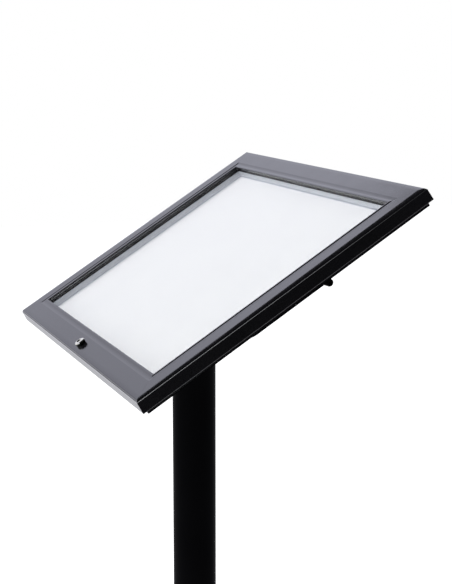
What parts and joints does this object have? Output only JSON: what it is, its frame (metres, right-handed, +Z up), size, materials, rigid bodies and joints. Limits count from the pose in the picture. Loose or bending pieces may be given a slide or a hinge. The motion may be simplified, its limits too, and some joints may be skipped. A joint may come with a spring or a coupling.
{
  "type": "menu display stand",
  "caption": "Lockable glazed case for a landscape sheet, tilted on a round post with a flat square base",
  "frame": {"origin": "on the floor under the post's axis", "axes": "+X to the reader's right, +Y away from the reader, +Z up"},
  "size_m": [0.483, 0.4, 1.1546],
  "materials": {
    "black_coat": "satin powder coat, fine texture",
    "zinc_plate": "bright zinc plate",
    "bare_steel": "ground steel",
    "chrome": "polished",
    "rubber": "matt",
    "white_coat": "matt white",
    "white_sheet": "matt white sheet",
    "clear_sheet": "clear, polished"
  },
  "bodies": {
    "stand": {"base_pad": "rubber", "base_plate": "black_coat", "base_bolt": "zinc_plate", "post_foot_plug": "bare_steel", "post_tube": "black_coat", "post_head": "black_coat", "head_set_screws": "zinc_plate", "sector_plate_right": "zinc_plate", "sector_plate_left": "zinc_plate", "sector_screws": "bare_steel", "pivot_bolt": "bare_steel", "pivot_washers": "zinc_plate", "pivot_nut": "zinc_plate"},
    "case": {"case_bracket": "black_coat", "bracket_studs": "zinc_plate", "bracket_nuts": "zinc_plate", "clamp_rod": "bare_steel", "clamp_spacer": "zinc_plate", "back_panel": "black_coat", "tray_rail_top": "black_coat", "tray_rail_right": "black_coat", "tray_rail_bottom": "black_coat", "tray_rail_left": "black_coat", "tray_corner_blocks": "zinc_plate", "tray_rivets": "zinc_plate", "pan_board": "white_coat", "insert_pan": "white_coat", "menu_sheet": "white_sheet", "door_seal": "rubber", "hinge_case_leaf": "zinc_plate", "hinge_pin": "bare_steel", "hinge_case_rivets": "bare_steel"},
    "door": {"hinge_door_leaf": "zinc_plate", "hinge_door_rivets": "bare_steel", "door_rail_top": "black_coat", "door_rail_right": "black_coat", "door_rail_bottom": "black_coat", "door_rail_left": "black_coat", "door_corner_keys": "zinc_plate", "door_glazing": "clear_sheet", "glazing_retainers": "black_coat", "lock_barrel": "chrome", "lock_nut": "zinc_plate"},
    "lock": {"lock_plug": "chrome", "lock_cam": "zinc_plate", "lock_cam_screw": "bare_steel"},
    "clamp_nut": {"clamp_sleeve_nut": "black_coat"}
  },
  "joints": [
    {"name": "case_tilt", "type": "hinge", "parent": "stand", "child": "case", "pos_m": [0, 0, 1], "axis": [1, 0, 0], "range_deg": [0, 24]},
    {"name": "door_swing", "type": "hinge", "parent": "case", "child": "door", "pos_m": [0, 0.17047, 1.13989], "axis": [-1, 0, 0], "range_deg": [0, 130]},
    {"name": "lock_turn", "type": "hinge", "parent": "door", "child": "lock", "pos_m": [0.0075, -0.13547, 0.96959], "axis": [0, 0.5299, -0.848], "range_deg": [0, 90]},
    {"name": "clamp_nut_turn", "type": "hinge", "parent": "case", "child": "clamp_nut", "pos_m": [0.046, 0.14628, 1.0282], "axis": [1, 0, 0], "continuous": true}
  ]
}
